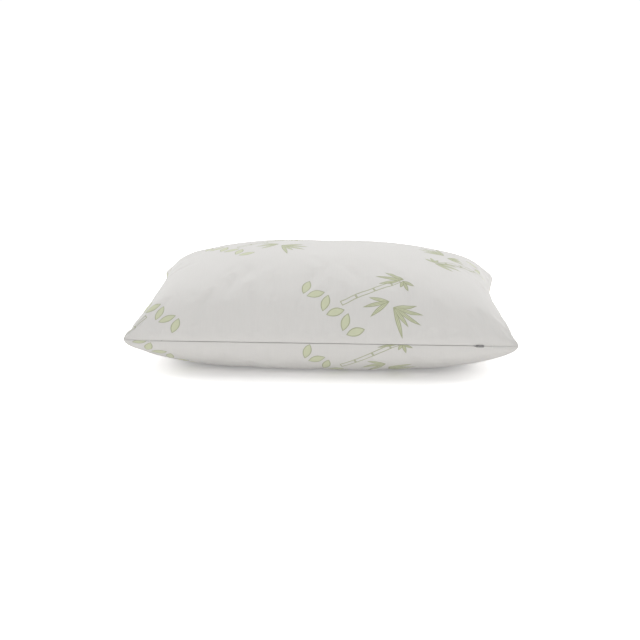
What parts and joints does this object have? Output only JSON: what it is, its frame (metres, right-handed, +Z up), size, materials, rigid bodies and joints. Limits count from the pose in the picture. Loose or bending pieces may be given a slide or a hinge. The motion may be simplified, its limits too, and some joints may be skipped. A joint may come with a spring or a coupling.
{
  "type": "bed pillow",
  "caption": "Rectangular bed pillow: shredded-foam clumps in a sewn liner, inside a knitted cover with a concealed zip along one long edge.",
  "frame": {"origin": "middle of the footprint, on the surface that the pillow lies on", "axes": "+X along the long, zipped edge towards the end where the slider rests when the zip is closed; -Y is the front, zipped side; +Z up"},
  "size_m": [0.72, 0.47, 0.2],
  "materials": {
    "cover_knit": "fine white jacquard knit with a pale green leaf motif",
    "zip_cloth": "white woven zip tape",
    "zip_nylon": "white nylon coil, satin",
    "zip_metal": "die-cast zip metal, satin grey",
    "sewing_thread": "white polyester sewing thread",
    "liner_cloth": "white brushed microfibre",
    "foam": "cream open-cell foam, torn into shreds"
  },
  "bodies": {
    "cover": {"back_seam_overlock": "sewing_thread", "cover_bottom_panel": "cover_knit", "cover_top_panel": "cover_knit", "foam_clump_01": "foam", "foam_clump_02": "foam", "foam_clump_03": "foam", "foam_clump_04": "foam", "foam_clump_05": "foam", "foam_clump_06": "foam", "foam_clump_07": "foam", "foam_clump_08": "foam", "foam_clump_09": "foam", "foam_clump_10": "foam", "foam_clump_11": "foam", "foam_clump_12": "foam", "foam_clump_13": "foam", "foam_clump_14": "foam", "foam_clump_15": "foam", "foam_clump_16": "foam", "foam_clump_17": "foam", "foam_clump_18": "foam", "foam_clump_19": "foam", "foam_clump_20": "foam", "foam_clump_21": "foam", "foam_clump_22": "foam", "foam_clump_23": "foam", "foam_clump_24": "foam", "front_left_seam_overlock": "sewing_thread", "front_right_seam_overlock": "sewing_thread", "left_bar_tack": "sewing_thread", "left_seam_overlock": "sewing_thread", "liner_bottom_panel": "liner_cloth", "liner_seam_overlock": "sewing_thread", "liner_top_panel": "liner_cloth", "lower_tape_stitching": "sewing_thread", "lower_zip_coil": "zip_nylon", "lower_zip_tape": "zip_cloth", "lower_zip_top_stop": "zip_metal", "right_bar_tack": "sewing_thread", "right_seam_overlock": "sewing_thread", "upper_tape_stitching": "sewing_thread", "upper_zip_coil": "zip_nylon", "upper_zip_tape": "zip_cloth", "upper_zip_top_stop": "zip_metal", "zip_bottom_stop": "zip_metal"},
    "slider": {"zip_slider_body": "zip_metal"},
    "pull": {"zip_pull_tab": "zip_metal"}
  },
  "joints": [
    {"name": "zip_slide", "type": "slide", "parent": "cover", "child": "slider", "axis": [1, 0, 0], "range_m": [-0.57, 0]},
    {"name": "pull_pivot", "type": "hinge", "parent": "slider", "child": "pull", "pos_m": [0.285, -0.21405, 0.067], "axis": [0, 0, -1], "range_deg": [0, 180]}
  ]
}
